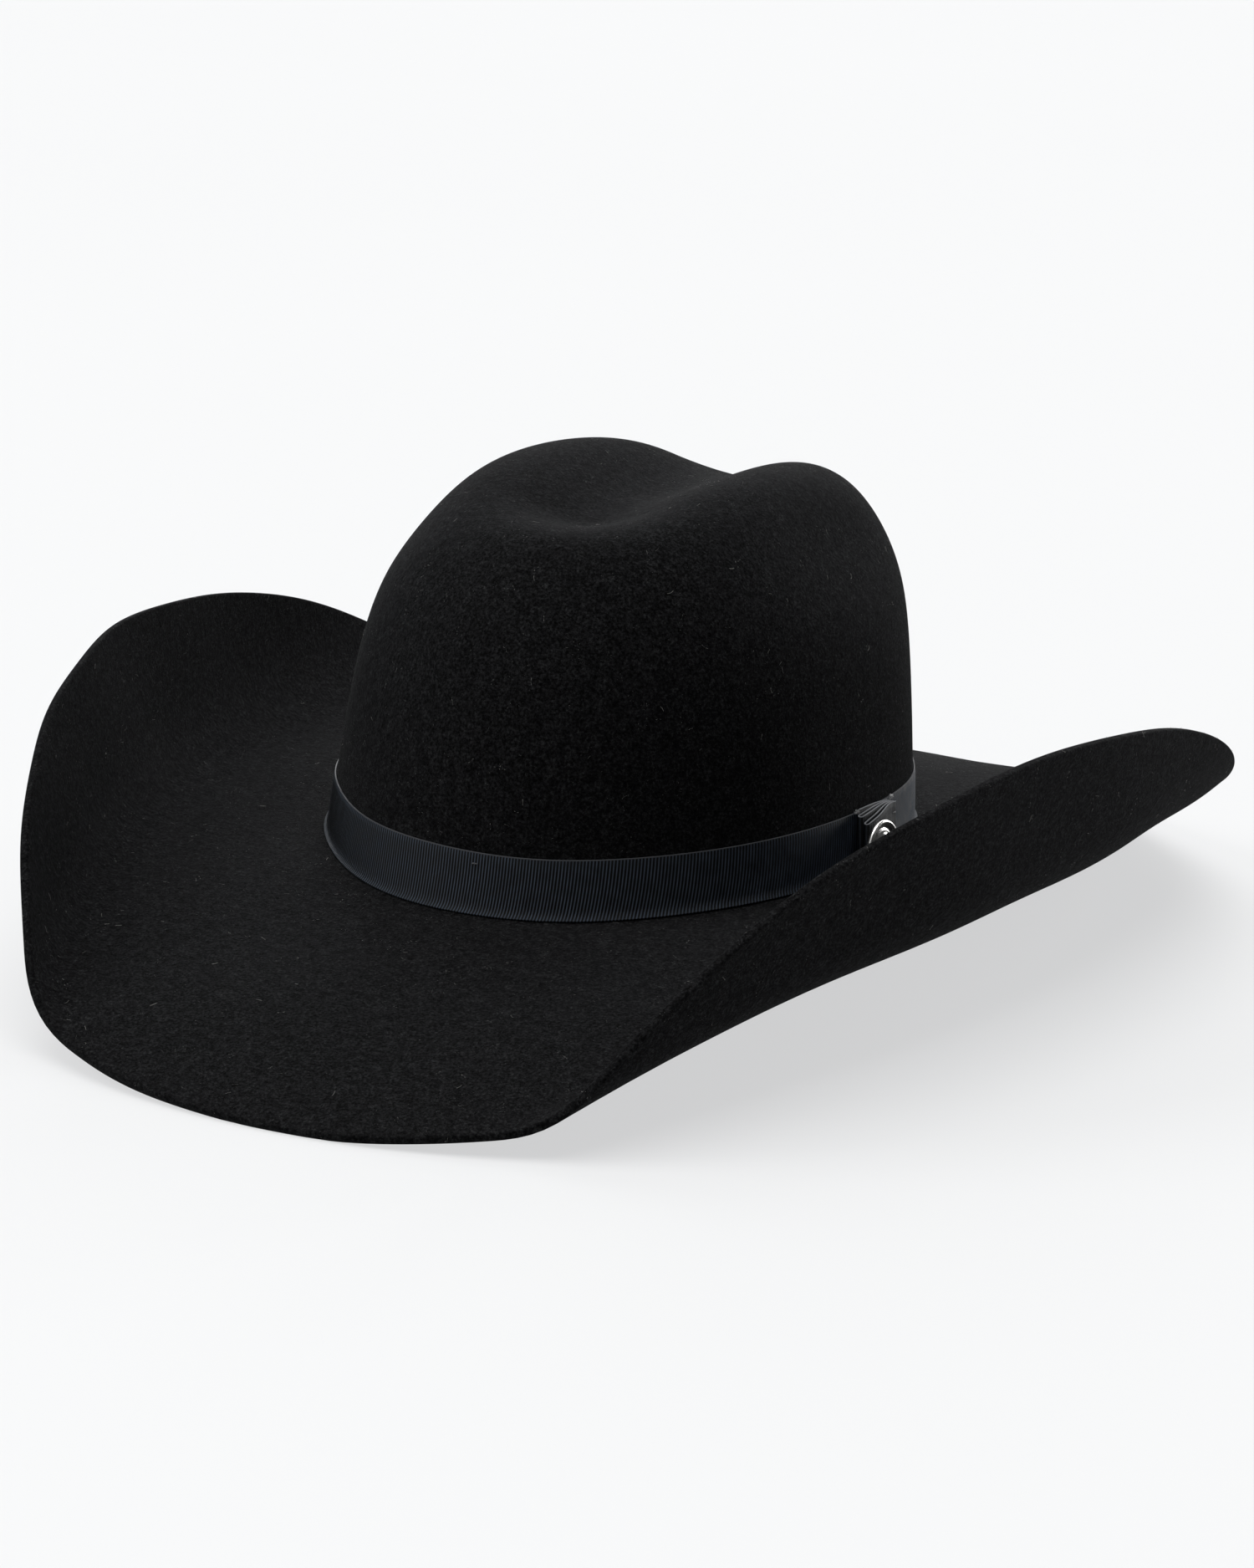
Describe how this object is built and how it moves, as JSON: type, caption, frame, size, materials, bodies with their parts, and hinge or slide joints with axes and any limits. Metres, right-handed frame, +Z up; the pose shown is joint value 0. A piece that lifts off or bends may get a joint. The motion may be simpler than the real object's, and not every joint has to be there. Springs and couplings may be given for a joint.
{
  "type": "cowboy hat",
  "caption": "Black felt cowboy hat with a creased crown, a brim rolled up at the sides, ribbon band with a bow and a round pin, sweatband and lining.",
  "frame": {"origin": "on the surface the hat rests on, under the middle of its outline", "axes": "+Z up, -Y towards the front of the hat, +X towards the wearer's left"},
  "size_m": [0.3218, 0.4342, 0.1423],
  "materials": {
    "black_felt": "felt with a short nap and a few loose light fibres",
    "grosgrain": "ribbed grosgrain ribbon with a soft sheen",
    "cotton_thread": "twisted sewing thread",
    "polished_steel": "polished metal, slightly worn",
    "dark_leather": "smooth matt leather",
    "reed_plastic": "plain drawn plastic",
    "satin": "satin weave with a sheen",
    "card": "stiff woven card"
  },
  "bodies": {
    "hat": {"felt_body": "black_felt", "hatband_ribbon": "grosgrain", "ribbon_tack_front": "cotton_thread", "ribbon_tack_right": "cotton_thread", "ribbon_tack_back": "cotton_thread", "bow_base": "grosgrain", "bow_loop_inner": "grosgrain", "bow_loop_outer": "grosgrain", "bow_tack_upper": "cotton_thread", "bow_tack_lower": "cotton_thread", "sweatband": "dark_leather", "sweatband_reed": "reed_plastic", "reed_tape": "satin", "sweatband_stitching": "cotton_thread", "sweatband_seam_tape": "satin", "size_tag": "card", "inner_bow_loop_left": "satin", "inner_bow_loop_right": "satin", "inner_bow_knot": "satin", "lining_tip": "satin", "lining_side": "satin", "lining_piping": "satin"},
    "clutch": {"pin_clutch": "polished_steel"},
    "pin": {"pin_disc": "polished_steel", "pin_rim": "polished_steel", "pin_motif": "polished_steel", "pin_post": "polished_steel"}
  },
  "joints": [
    {"name": "pin_turn", "type": "hinge", "parent": "hat", "child": "clutch", "pos_m": [0.08359, -0.01538, 0.0411], "axis": [0.989, -0.1179, 0.0898], "continuous": true},
    {"name": "pin_pull", "type": "slide", "parent": "clutch", "child": "pin", "axis": [0.989, -0.1179, 0.0898], "range_m": [0, 0.012]}
  ]
}
